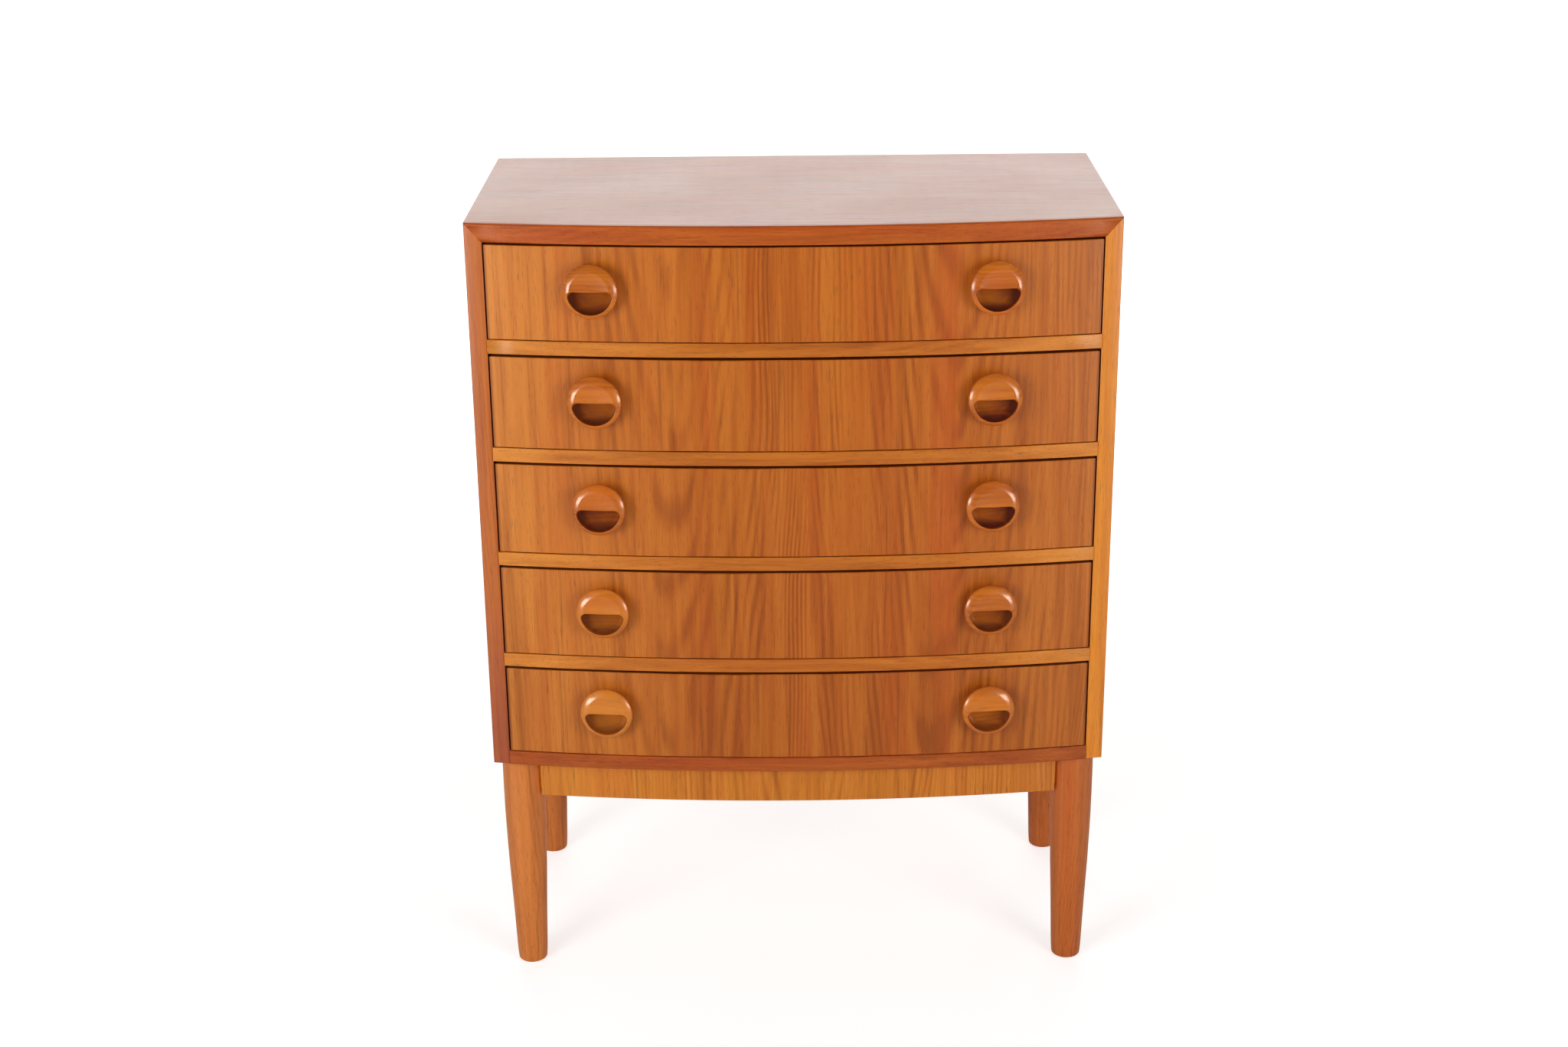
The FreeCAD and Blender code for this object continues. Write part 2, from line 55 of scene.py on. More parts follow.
class Signal:
    """A number, colour or vector on its way through a material's nodes."""

    def __init__(self, tree, socket):
        self.tree = tree
        self.socket = socket

    def node(self, kind, settings=None, inputs=None, output=0):
        """Add a node with its settings and the values or links of its sockets."""
        made = self.tree.nodes.new(kind)
        for key, value in (settings or {}).items():
            if key == "stops":
                ramp = made.color_ramp
                while len(ramp.elements) < len(value):
                    ramp.elements.new(0.5)
                for element, (place, colour) in zip(ramp.elements, value):
                    element.position = place
                    element.color = colour
            else:
                setattr(made, key, value)
        for key, value in (inputs or {}).items():
            if isinstance(value, Signal):
                self.tree.links.new(value.socket, made.inputs[key])
            else:
                made.inputs[key].default_value = value
        return Signal(self.tree, made.outputs[output])

    def math(self, operation, *values):
        return self.node("ShaderNodeMath", {"operation": operation}, dict(enumerate((self,) + values)))

    def __add__(self, other):
        return self.math("ADD", other)

    def __radd__(self, other):
        return self.math("ADD", other)

    def __sub__(self, other):
        return self.math("SUBTRACT", other)

    def __rsub__(self, other):
        return (self * -1.0) + other

    def __mul__(self, other):
        return self.math("MULTIPLY", other)

    def __rmul__(self, other):
        return self.math("MULTIPLY", other)

    def between(self, low, high):
        """0 where the value is low or under, 1 where it is high or over, and soft between."""
        return self.node("ShaderNodeMapRange", {"interpolation_type": "SMOOTHSTEP"},
                         {"Value": self, "From Min": low, "From Max": high})

    def noise(self, scale, detail, roughness):
        """Even noise in this vector's space."""
        return self.node("ShaderNodeTexNoise", {}, {
            "Vector": self, "Scale": scale, "Detail": detail, "Roughness": roughness,
        })

    def stretched(self, scale, shift=(0.0, 0.0, 0.0)):
        """The same place with each axis scaled and shifted."""
        return self.node("ShaderNodeMapping", {}, {"Vector": self, "Scale": scale, "Location": shift})

    def drawn_out(self, share, scale, detail, roughness, shift=(0.0, 0.0, 0.0)):
        """Noise drawn out along the grain, which is the Z axis of a board's own space."""
        return self.stretched((1.0, 1.0, share), shift).noise(scale, detail, roughness)

    def part(self, axis):
        """One of this vector's three numbers."""
        return self.node("ShaderNodeSeparateXYZ", {}, {"Vector": self}, axis)

    def mixed(self, other, share):
        """This colour with the other one laid over it."""
        factor, first, second, result = 0, 6, 7, 2
        made = self.tree.nodes.new("ShaderNodeMix")
        made.data_type = "RGBA"
        for key, value in ((factor, share), (first, self), (second, other)):
            if isinstance(value, Signal):
                self.tree.links.new(value.socket, made.inputs[key])
            else:
                made.inputs[key].default_value = value
        return Signal(self.tree, made.outputs[result])


def new_material(name):
    """An empty material, its shader, and the place on the piece that its patterns are drawn from."""
    material = bpy.data.materials.new(name)
    material.use_nodes = True
    tree = material.node_tree
    tree.nodes.clear()
    shader = tree.nodes.new("ShaderNodeBsdfPrincipled")
    output = tree.nodes.new("ShaderNodeOutputMaterial")
    tree.links.new(shader.outputs["BSDF"], output.inputs["Surface"])
    place = Signal(tree, tree.nodes.new("ShaderNodeTexCoord").outputs["Object"])
    return material, shader, place


def feed(shader, plug, signal):
    signal.tree.links.new(signal.socket, shader.inputs[plug])


def leaves_of_veneer(board, across, leaves):
    """Where the tree's heart lies under each leaf, and the board's space, moved on from leaf to leaf.

    Each leaf is (where its heart is, where it starts), both measured across the grain.
    """
    heart = across * 0.0 + leaves[0][0]
    leaf = across * 0.0
    for number, (middle_of_leaf, start) in enumerate(leaves[1:]):
        reached = across.math("GREATER_THAN", start)
        heart = heart + reached * (middle_of_leaf - leaves[number][0])
        leaf = leaf + reached
    move = board.node("ShaderNodeCombineXYZ", {}, {"X": leaf * 0.37, "Y": leaf * 0.91})
    return heart, board.node("ShaderNodeVectorMath", {"operation": "ADD"}, {0: board, 1: move})


def late_wood(board, aside, under, ring):
    """The dark part of each year's ring. Aside and under are the two ways from the tree's heart."""
    wander = board.drawn_out(0.22, 7.0, 2.0, 0.5) - 0.5
    ripple = board.drawn_out(0.10, 42.0, 2.0, 0.5) - 0.5
    aside = aside + wander * 0.085
    under = under + ripple * 0.012
    radius = (aside * aside + under * under).math("SQRT")
    turns = radius * (1.0 / ring) + ripple * 2.2 + wander * 3.0
    rings = (turns * (2 * math.pi)).math("SINE") * 0.5 + 0.5
    uneven = board.drawn_out(0.05, 55.0, 1.0, 0.5).between(0.38, 0.66) * 1.6 + 0.15
    return rings * rings * uneven


def with_painted_gap_shade(colour, place, dark, edges, border):
    """The colour with painted shade on level edges and a front's two ends, where they face the gaps."""
    # The dark red-brown of the painted shade in the gaps between the boards.
    painted_gap_shade = linear(dark[0] * 0.60, dark[1] * 0.40, dark[2] * 0.5)
    faces = place.node("ShaderNodeNewGeometry", {}, {}, "True Normal")
    if edges:
        colour = colour.mixed(painted_gap_shade, faces.part("Z").math("ABSOLUTE").between(0.8, 0.95) * edges)
    # Painted shade along a front's two ends, lighter on the end faces, for the gap and the lipping's shaded
    # side.
    if border:
        rim_width = 0.0055
        rim = place.part("X").math("ABSOLUTE").between(border - rim_width, border + 0.0005)
        at_end = faces.part("X").math("ABSOLUTE").between(0.6, 0.9)
        colour = colour.mixed(painted_gap_shade, rim * rim * (at_end * -0.55 + 0.95))
    return colour


def handled(colour, rough, place, mark):
    """The knob's colour and roughness, with painted shade in its recess, and how strong that shade is.

    Mark names the attribute that says how strong the painted shade is. The lower knobs get painted light, so
    they are paler, most of all on the left, and the painted shade in their recesses is weaker.
    """
    # Painted light: the lower knobs are mixed towards a light gold, most of all on the left.
    paler_from, paler_to = 0.60, 0.37
    lower = (place.part("Z") * -1.0).between(-paler_from, -paler_to)
    colour = colour.mixed(linear(238, 152, 52), lower * (place.part("X") * -0.75 + 0.27))
    # Painted shade in the recess, read from the attribute, and weaker on the lower knobs.
    recess_shade = place.node("ShaderNodeAttribute", {"attribute_name": mark}, {}, "Fac")
    recess_shade = recess_shade * (lower * -0.22 + 1.0)
    return colour.mixed(linear(74, 24, 25), recess_shade * 0.92), rough + recess_shade * 0.3, recess_shade


def wood(name, axes, dark, middle, light, leaves=((0.0, 0.0),), ring=0.0048, figure=0.30, lines=1.0,
         drift=0.6, shift=(0.0, 0.0, 0.0), tilt=0.05, gloss=0.40, coat=0.05, coat_gloss=0.25, shine=0.28,
         pore=0.45, ends=(0.0, 0.0), edges=0.0, border=None, foot=None, darkened=None):
    """Planed wood with an oil finish. Axes names the axes across the grain, into the board and along the
    grain.

    The growth rings are cones round the tree's heart, which lies under the middle of each leaf of veneer,
    so that they show as arches there and as straight lines to either side. The three colours are as seen on
    screen. Figure, lines, drift and pore say how strong the rings, the streaks, the slow change of tone and
    the pores are. Ends says how strong the painted light and sheen are that make the wood paler towards the
    left and right sides of the chest, and edges how strong the painted shade is on its level edges, by the
    gaps. Border is half the width of a front whose two ends get that painted shade too, foot the colour that
    a strip turns to towards its lower end, and darkened the attribute that holds a knob recess's painted
    shade.
    """
    material, shader, place = new_material(name)
    across, into, along = [place.part(axis) for axis in axes]
    board = across.node("ShaderNodeCombineXYZ", {}, {"X": across, "Y": into, "Z": along})
    heart, board = leaves_of_veneer(board.stretched((1.0, 1.0, 1.0), shift), across, leaves)
    heart_depth = 0.03
    late = late_wood(board, across - heart, into + along * tilt + heart_depth, ring)
    bands = board.drawn_out(0.06, 26.0, 3.0, 0.6)
    streaks = board.drawn_out(0.040, 95.0, 4.0, 0.60)
    fibre = board.drawn_out(0.012, 1150.0, 2.0, 0.6)
    tone = (bands - 0.5) * drift + (late - 0.4) * (-figure) + (streaks - 0.5) * (1.15 * lines) + 0.5
    tone = tone + (fibre - 0.5) * (0.65 * lines)
    colour = tone.node("ShaderNodeValToRGB", {"stops": [
        (0.15, linear(*dark)), (0.5, linear(*middle)), (0.85, linear(*light)),
    ]}, {"Fac": tone})
    reds = board.drawn_out(0.07, 17.0, 2.0, 0.5, (3.0, 7.0, 1.0)).between(0.48, 0.70)
    golds = board.drawn_out(0.07, 19.0, 2.0, 0.5, (8.0, 2.0, 5.0)).between(0.50, 0.72)
    colour = colour.mixed(linear(middle[0] + 12, middle[1] - 8, middle[2] + 2), reds * 0.45)
    colour = colour.mixed(linear(middle[0] + 8, middle[1] + 14, middle[2] - 2), golds * 0.40)
    # Painted light and sheen: the wood is mixed paler towards the left and right sides of the chest.
    if max(ends) > 0:
        painted_side_light = linear(middle[0] + 36, middle[1] + 38, middle[2] + 24)
        grain = (bands + streaks).between(0.35, 1.65)
        colour = colour.mixed(painted_side_light, (place.part("X") * -1.0).between(0.08, 0.37) * grain * ends[0])
        colour = colour.mixed(painted_side_light, place.part("X").between(0.16, 0.37) * grain * ends[1])
    pores = board.drawn_out(0.035, 1500.0, 1.0, 0.5).between(0.63, 0.72)
    veins = board.drawn_out(0.020, 170.0, 3.0, 0.55).between(0.58, 0.76)
    shade = linear(*[value * 0.55 for value in dark])
    colour = colour.mixed(shade, veins * (0.34 * lines))
    colour = colour.mixed(shade, pores * pore)
    # Painted shade on the level edges and on a front's two ends, for the dark gaps between the boards.
    if edges or border:
        colour = with_painted_gap_shade(colour, place, dark, edges, border)
    if foot:
        reddened_from, reddened_to = 0.60, 0.29
        lower = (place.part("Z") * -1.0).between(-reddened_from, -reddened_to)
        colour = colour.mixed(linear(*foot), lower * 0.42)
    rubbed = place.noise(6.0, 3.0, 0.6)
    rough = (streaks - 0.5) * 0.10 + (rubbed - 0.5) * 0.14 + pores * 0.12 + gloss
    shader.inputs["Coat Weight"].default_value = coat
    # Painted shade in a knob's recess, and painted light on the lower knobs.
    if darkened:
        colour, rough, recess_shade = handled(colour, rough, place, darkened)
        feed(shader, "Coat Weight", recess_shade.between(0.0, 0.4) * (-coat) + coat)
    feed(shader, "Base Color", colour)
    feed(shader, "Roughness", rough)
    height = fibre * 0.4 + streaks * 0.3 - pores * 0.9
    bump = height.node("ShaderNodeBump", {}, {"Height": height, "Strength": 0.18, "Distance": 0.0003})
    feed(shader, "Normal", bump)
    shader.inputs["Specular IOR Level"].default_value = shine
    shader.inputs["Coat Roughness"].default_value = coat_gloss
    return material


def deselect():
    bpy.ops.object.select_all(action="DESELECT")


def pick(piece):
    """Make this piece the only one that the next operator acts on."""
    deselect()
    piece.select_set(True)
    bpy.context.view_layer.objects.active = piece


def apply_modifier(piece, kind, **settings):
    """Add a modifier with these settings and apply it."""
    modifier = piece.modifiers.new(kind.lower(), kind)
    for key, value in settings.items():
        setattr(modifier, key, value)
    pick(piece)
    bpy.ops.object.modifier_apply(modifier=modifier.name)


def round_edges(piece, chosen, width, steps):
    """Round the edges whose two ends are chosen."""
    pick(piece)
    bpy.ops.object.mode_set(mode="EDIT")
    bpy.ops.mesh.select_mode(type="EDGE")
    bpy.ops.mesh.select_all(action="DESELECT")
    bpy.ops.object.mode_set(mode="OBJECT")
    for edge in piece.data.edges:
        edge.select = chosen(*[piece.data.vertices[index].co for index in edge.vertices])
    bpy.ops.object.mode_set(mode="EDIT")
    bpy.ops.mesh.bevel(offset=width, segments=steps, affect="EDGES")
    bpy.ops.mesh.select_mode(type="VERT")
    bpy.ops.mesh.select_all(action="DESELECT")
    bpy.ops.object.mode_set(mode="OBJECT")


top_low, top_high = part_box("top_lipping")
half_width = top_high[0]
front_bow = 0.030
bow_radius = (half_width ** 2 + front_bow ** 2) / (2 * front_bow)
bow_centre = top_low[1] + bow_radius
arris_round = 0.0010
arris_reach = 0.003
arris_depth = 0.002
nearly_level = 0.0002


def on_top_arris(first, second):
    """True for the two long edges of the top's eased front arris."""
    level = abs(first.z - second.z) < nearly_level and min(first.z, second.z) > top_high[2] - arris_depth
    outer = bow_radius - arris_reach
    return level and all(math.hypot(end.x, end.y - bow_centre) > outer for end in (first, second))


weld_distance = 0.000002
facet_angle = math.radians(0.3)
crease_angle = math.radians(50)


def finished(node, body, material, arris=None):
    """The node's board as it leaves the polisher: its bow one smooth curve and its arrises rubbed round."""
    mesh = nodes[node].data.copy()
    piece = bpy.data.objects.new("finished_" + node, mesh)
    mesh.name = piece.name
    bpy.context.scene.collection.objects.link(piece)
    pick(piece)
    bpy.ops.object.mode_set(mode="EDIT")
    bpy.ops.mesh.select_all(action="SELECT")
    bpy.ops.mesh.remove_doubles(threshold=weld_distance)
    bpy.ops.mesh.dissolve_limited(angle_limit=facet_angle)
    bpy.ops.object.mode_set(mode="OBJECT")
    if arris:
        round_edges(piece, arris, arris_round, 3)
        pick(piece)
    bpy.ops.object.shade_smooth_by_angle(angle=crease_angle)
    apply_modifier(piece, "WEIGHTED_NORMAL", keep_sharp=True, weight=80)
    mesh.materials.clear()
    mesh.materials.append(material)
    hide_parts(node)
    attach(piece, body)


def finish_with(names, material):
    """Give CAD nodes their finish."""
    for name in names:
        slots = nodes[name].data.materials
        slots.clear()
        slots.append(material)


top_finish = wood("teak_top", "YZX", (150, 68, 18), (172, 82, 24), (190, 98, 34), leaves=((0.30, 0.0),),
                  shift=(0.3, 0.0, 1.0), figure=0.22, drift=0.8, tilt=0.0, gloss=0.40, coat=0.15, shine=0.5)
lipping_across = wood("teak_lipping_across", "ZYX", (152, 62, 10), (184, 86, 18), (206, 106, 26),
                      figure=0.10)
finish_with(["top_panel"], top_finish)
finished("top_lipping", "carcass", lipping_across, on_top_arris)


# Sides of the carcass: veneered boards with upright grain, and solid lippings on their front edges.
# The veneer is a shade plainer than on the drawers. The left lipping is darker wood and turns darker and
# redder towards its foot, and the right one is the palest strip of the chest.
side_finish = wood("teak_sides", "YXZ", (144, 64, 16), (178, 88, 26), (198, 106, 36),
                   leaves=((-0.03, 0.0),), shift=(0.0, 0.4, 0.2), figure=0.15)
left_lipping_finish = wood("teak_left_lipping", "XYZ", (166, 80, 26), (194, 100, 37), (212, 120, 49),
                           figure=0.10, foot=(140, 62, 62))
right_lipping_finish = wood("teak_right_lipping", "XYZ", (204, 110, 24), (226, 133, 36), (240, 152, 50),
                            figure=0.10, shift=(0.4, 0.0, 0.0))
finish_with(["left_side_panel", "right_side_panel"], side_finish)
finished("left_lipping", "carcass", left_lipping_finish)
finished("right_lipping", "carcass", right_lipping_finish)


# Bottom of the carcass and its lipping, which shows as the dark band under the lowest drawer.
# It is the same board as the sides, and its lipping was cut from darker wood.
bottom_lipping_finish = wood("teak_bottom_lipping", "ZYX", (142, 60, 12), (174, 82, 22), (194, 100, 32),
                             figure=0.10)
finish_with(["bottom_panel"], side_finish)
finished("bottom_lipping", "carcass", bottom_lipping_finish)


# Rails between the drawers: solid teak, paler and more golden than the veneer, with grain from side to
# side. They follow the bow and are stub-tenoned into the carcass sides.
# Painted light towards both sides of the chest, and painted shade on the level edges by the gaps.
rail_finish = wood("teak_rails", "ZYX", (165, 84, 18), (191, 102, 26), (213, 124, 38), figure=0.12,
                   ring=0.007, ends=(1.7, 2.0), edges=0.6)
for number in range(1, 5):
    finished("rail_%d" % number, "carcass", rail_finish)


# Inside the carcass: plywood back, and beech runners, stops and glue blocks, sanded and left nearly bare.
# The back's face veneer runs upright; the strips have their grain from front to back.
beech_shades = ((200, 148, 100), (216, 167, 116), (228, 184, 134))
beech = wood("beech", "XZY", *beech_shades, figure=0.12, lines=0.6, gloss=0.55, coat=0.0, pore=0.25)
plywood = wood("plywood", "XYZ", (178, 130, 86), (198, 152, 104), (212, 170, 122), figure=0.3, lines=0.7,
               gloss=0.6, coat=0.0, pore=0.3)
finish_with(["left_runners", "right_runners", "drawer_stops", "fixing_blocks"], beech)
finish_with(["back_panel"], plywood)


# Drawer fronts: bowed boards faced with teak veneer, its grain upright and running on from drawer to
# drawer. Two leaves of veneer meet a little to the right of the middle. Each front is painted a little
# darker than the one above it, as painted shade for the light that falls off lower down.
front_low, front_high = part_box("drawer_1_front")
front_shades = ((164, 79, 14), (188, 96, 22), (206, 115, 34))
# Painted shade: each front's colours are made a little darker than those of the front above it.
for number, tone in enumerate((1.0, 0.985, 0.98, 0.965, 0.945), 1):
    painted_falloff_colours = [[tone * part for part in shade] for shade in front_shades]
    # Its finish paints sheen towards the chest's sides, and shade on its edges and two ends, by the gaps.
    front_finish = wood("teak_front_%d" % number, "XYZ", *painted_falloff_colours, leaves=((-0.135, -1.0), (0.163, 0.014)),
                        figure=0.32, drift=1.15, ends=(1.55, 0.6), edges=0.70, border=front_high[0])
    finished("drawer_%d_front" % number, "drawer_%d" % number, front_finish)


# Drawer boxes: beech sides and backs, dovetailed, and thin birch plywood bottoms in their grooves.
# The sides have their grain from front to back, the backs and bottoms from side to side.
beech_across = wood("beech_backs", "ZYX", *beech_shades, figure=0.12, lines=0.6, gloss=0.55, coat=0.0,
                    pore=0.25)
birch = wood("birch_plywood", "YZX", (206, 166, 120), (222, 186, 142), (232, 200, 158), figure=0.16,
             lines=0.5, gloss=0.6, coat=0.0, pore=0.2)
for number in range(1, 6):
    name = "drawer_%d_" % number
    finish_with([name + "left_side", name + "right_side"], beech)
    finish_with([name + "back"], beech_across)
    finish_with([name + "bottom"], birch)


# Knobs: turned teak, flared towards a rounded rim and dished, with a half-moon recess for the fingertips.
# Each is glued and screwed to its drawer front from inside, with its grain level.
def named(name):
    """Name the new object and return it."""
    piece = bpy.context.object
    piece.name = name
    piece.data.name = name
    return piece


def apply_place(piece):
    pick(piece)
    bpy.ops.object.transform_apply(location=True, rotation=True, scale=True)


def turned(name, profile, sides):
    """Solid turned about the Z axis: a disc drawn out ring by ring along a profile of radius and height."""
    deselect()
    bpy.ops.mesh.primitive_circle_add(vertices=sides, radius=profile[0][0], fill_type="NGON",
                                      location=(0.0, 0.0, profile[0][1]))
    piece = named(name)
    apply_place(piece)
    bpy.ops.object.mode_set(mode="EDIT")
    bpy.ops.mesh.select_all(action="SELECT")
    for (radius, height), (next_radius, next_height) in zip(profile, profile[1:]):
        bpy.ops.mesh.extrude_region_move(TRANSFORM_OT_translate={"value": (0.0, 0.0, next_height - height)})
        ratio = next_radius / radius
        bpy.ops.transform.resize(value=(ratio, ratio, 1.0), center_override=(0.0, 0.0, next_height))
    bpy.ops.mesh.select_all(action="SELECT")
    bpy.ops.mesh.normals_make_consistent(inside=False)
    bpy.ops.object.mode_set(mode="OBJECT")
    return piece


def rounded_corner(centre_radius, centre_height, radius, first, last, steps):
    """Points on an arc of the profile, its angles measured from straight out."""
    points = []
    for step in range(steps + 1):
        angle = math.radians(first + (last - first) * step / steps)
        points.append((centre_radius + radius * math.cos(angle), centre_height + radius * math.sin(angle)))
    return points


def combine(piece, other, operation):
    """Cut the piece by the other one, or keep what both share."""
    apply_modifier(piece, "BOOLEAN", operation=operation, solver="EXACT", object=other)
    bpy.data.objects.remove(other)


def smooth(piece, angle):
    pick(piece)
    bpy.ops.object.shade_smooth_by_angle(angle=math.radians(angle))


def carry_on(profile, radius, first, last, steps):
    """Carry a profile on by an arc that turns from one angle to another, both measured from straight out."""
    start = math.radians(first)
    centre = (profile[-1][0] - radius * math.cos(start), profile[-1][1] - radius * math.sin(start))
    profile.extend(rounded_corner(centre[0], centre[1], radius, first, last, steps)[1:])


knob_radius = 0.03125
knob_height = 0.020
knob_neck = 0.024
knob_dish = 0.0024
knob_ring = 0.0052
rim_round = 0.0026
shoulder_round = 0.020
crest_round = 0.003
round_sides = 96
tip = 0.0004

# Its rim is a tight round, then a broad and nearly straight shoulder up to the crest, then the shallow dish.
rim_profile = rounded_corner(knob_radius - rim_round, 0.0, rim_round, -40, 50, 12)
carry_on(rim_profile, shoulder_round, 50, 73, 10)
carry_on(rim_profile, crest_round, 73, 102, 6)
lift = knob_height - max(height for radius, height in rim_profile)
knob_profile = [(knob_neck, 0.0), (knob_neck + 0.0012, 0.003)]
knob_profile += [(radius, height + lift) for radius, height in rim_profile]
dish_edge = knob_profile[-1]
dish_steps = 12
for step in range(1, dish_steps):
    share = 1 - step / dish_steps
    knob_profile.append((dish_edge[0] * share, dish_edge[1] - knob_dish * (1 - share ** 2)))
knob_profile.append((tip, dish_edge[1] - knob_dish))
knob = turned("knob", knob_profile, round_sides)

# The recess is bored as a bowl that widens behind the rim, and keeps only its lower half, with rounded ends
# and an upper edge rolled over towards the dish.
recess_radius = knob_radius - knob_ring
recess_floor = 0.0064
floor_round = 0.0055
bowl_top = 0.030
bowl_profile = [(tip, recess_floor)]
bowl_profile += rounded_corner(recess_radius + 0.0004 - floor_round, recess_floor + floor_round,
                               floor_round, -90, 0, 8)
bowl_profile += [(recess_radius + 0.0013, 0.0135), (recess_radius + 0.0011, 0.0155),
                 (recess_radius, 0.0178), (recess_radius, bowl_top), (tip, bowl_top)]
bowl = turned("bowl", bowl_profile, round_sides)
lip_round = 0.0022
lip_height = knob_height - knob_dish
lip_drop = 0.0010
end_round = 0.0060
block_depth = 0.06
block_inset = 0.0010


def at_upper_corner(first, second):
    """True for the block's two edges where its upper side meets its ends."""
    return min(first.y, second.y) > -0.01 and abs(first.x - second.x) < 0.001


deselect()
bpy.ops.mesh.primitive_cube_add(size=1.0, location=(0.0, -lip_drop - 0.5 * block_depth, 0.5 * lip_height))
block = named("block")
block.scale = (2.0 * recess_radius - block_inset, block_depth, lip_height)
apply_place(block)
round_edges(block, at_upper_corner, end_round, 8)
for face in block.data.polygons:
    face.select = face.normal.z > 0.9
bpy.ops.object.mode_set(mode="EDIT")
lip_steps = 8
for step in range(1, lip_steps + 1):
    angle = math.radians(90 * step / lip_steps)
    previous = math.radians(90 * (step - 1) / lip_steps)
    rise = lip_round * (math.sin(angle) - math.sin(previous))
    bpy.ops.mesh.extrude_region_move(TRANSFORM_OT_translate={"value": (0.0, 0.0, rise)})
    spread = lip_round * (math.cos(previous) - math.cos(angle))
    depth = block_depth + lip_round * (1 - math.cos(previous))
    bpy.ops.transform.resize(value=(1.0, (depth + spread) / depth, 1.0),
                             center_override=(0.0, -block_depth, 0.0))
bpy.ops.mesh.extrude_region_move(TRANSFORM_OT_translate={"value": (0.0, 0.0, knob_height)})
bpy.ops.object.mode_set(mode="OBJECT")
for vertex in block.data.vertices:
    vertex.co.z -= lip_round
combine(bowl, block, "INTERSECT")
apply_modifier(bowl, "REMESH", mode="VOXEL", voxel_size=0.0006)
apply_modifier(bowl, "SMOOTH", factor=0.5, iterations=30)
combine(knob, bowl, "DIFFERENCE")
apply_modifier(knob, "REMESH", mode="VOXEL", voxel_size=0.00045, use_smooth_shade=True)
apply_modifier(knob, "SMOOTH", factor=0.5, iterations=8)
apply_modifier(knob, "DECIMATE", ratio=0.2)
smooth(knob, 60)


def share_of(value, start, length):
    """0 up to the start and 1 from a length past it."""
    return min(max((value - start) / length, 0.0), 1.0)


shade_radius = recess_radius + 0.0018
shade_top = 0.0172
shade_depth = 0.005
wall_start = 0.001
wall_reach = 0.018
foot_start = 0.014
foot_reach = 0.009


def mark_painted_recess_shade(mesh, outer):
    """Mark how dark the painted shade in the recess is: most at its foot and under its outer wall.

    On the right-hand knobs the two differ more than on the left-hand ones.
    """
    least, most = (0.36, 0.99) if outer > 0 else (0.46, 0.92)
    marks = mesh.attributes.new("handled", "FLOAT", "POINT")
    for vertex, mark in zip(mesh.vertices, marks.data):
        inside = vertex.co.xy.length < shade_radius and vertex.co.y < 0.0004
        deep = share_of(-vertex.co.z, -shade_top, shade_depth)
        under_wall = share_of(outer * vertex.co.x, wall_start, wall_reach)
        at_foot = share_of(-vertex.co.y, foot_start, foot_reach)
        mark.value = deep * (least + (most - least) * max(under_wall, at_foot)) if inside else 0.0


# The knobs' recesses get painted shade from their attribute, and the lower knobs get painted light.
knob_finish = wood("teak_knobs", "ZYX", (162, 72, 6), (196, 99, 12), (218, 123, 22), figure=0.14,
                   ring=0.006, lines=0.7, drift=1.2, gloss=0.45, coat=0.85, coat_gloss=0.22, shine=0.06,
                   pore=0.15, darkened="handled")
knob.data.materials.append(knob_finish)


def centre_of(node):
    low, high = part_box(node)
    return (Vector(low) + Vector(high)) / 2


def copy_of(piece, name):
    """A copy with its own mesh, linked to the scene."""
    copied = piece.copy()
    copied.data = piece.data.copy()
    copied.name = name
    bpy.context.scene.collection.objects.link(copied)
    return copied


# Each knob sits square to the bow, where its flat back touches the drawer front.
knob_x = 0.612 * half_width
front_radius = bow_centre - front_low[1]
knob_y = bow_centre - math.sqrt(front_radius ** 2 - knob_x ** 2)
knob_tilt = math.asin(knob_x / front_radius)
for number in range(1, 6):
    for side, word in ((-1, "left"), (1, "right")):
        node = "drawer_%d_%s_knob" % (number, word)
        piece = copy_of(knob, "turned_knob_%d_%s" % (number, word))
        mark_painted_recess_shade(piece.data, side)
        turn = Matrix.Rotation(side * knob_tilt, 4, "Z") @ Matrix.Rotation(math.radians(90), 4, "X")
        piece.matrix_world = Matrix.Translation((side * knob_x, knob_y, centre_of(node).z)) @ turn
        apply_place(piece)
        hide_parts(node)
        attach(piece, "drawer_%d" % number)
bpy.data.objects.remove(knob)


# Screws: slotted steel with domed heads. They hold the knobs from inside the drawers, the back panel in its
# rebate, and the carcass on its base frame through the glue blocks.
steel, steel_shader, steel_place = new_material("screw_steel")
scuffs = steel_place.noise(900.0, 3.0, 0.6)
tarnish = steel_place.noise(160.0, 2.0, 0.5)
steel_colour = tarnish.node("ShaderNodeValToRGB", {"stops": [
    (0.35, linear(126, 120, 110)), (0.65, linear(176, 172, 164)),
]}, {"Fac": tarnish})
feed(steel_shader, "Base Color", steel_colour)
feed(steel_shader, "Roughness", scuffs * 0.3 + 0.25)
steel_bump = scuffs.node("ShaderNodeBump", {}, {"Height": scuffs, "Strength": 0.15, "Distance": 0.0001})
feed(steel_shader, "Normal", steel_bump)
steel_shader.inputs["Metallic"].default_value = 1.0


def screw_head(name, radius):
    """Domed head with a slot, its underside at zero and its slot along X."""
    head_height = 0.55 * radius
    rim_height = 0.0002
    dome = [(radius * math.cos(angle), rim_height + (head_height - rim_height) * math.sin(angle))
            for angle in [math.radians(10 * step) for step in range(9)]]
    head = turned(name, [(radius * 0.98, 0.0)] + dome + [(0.0001, head_height)], 40)
    deselect()
    bpy.ops.mesh.primitive_cube_add(size=1.0, location=(0.0, 0.0, head_height))
    slot = named("slot")
    slot.scale = (3.0 * radius, 0.26 * radius, 0.8 * head_height)
    apply_place(slot)
    combine(head, slot, "DIFFERENCE")
    smooth(head, 35)
    head.data.materials.append(steel)
    return head


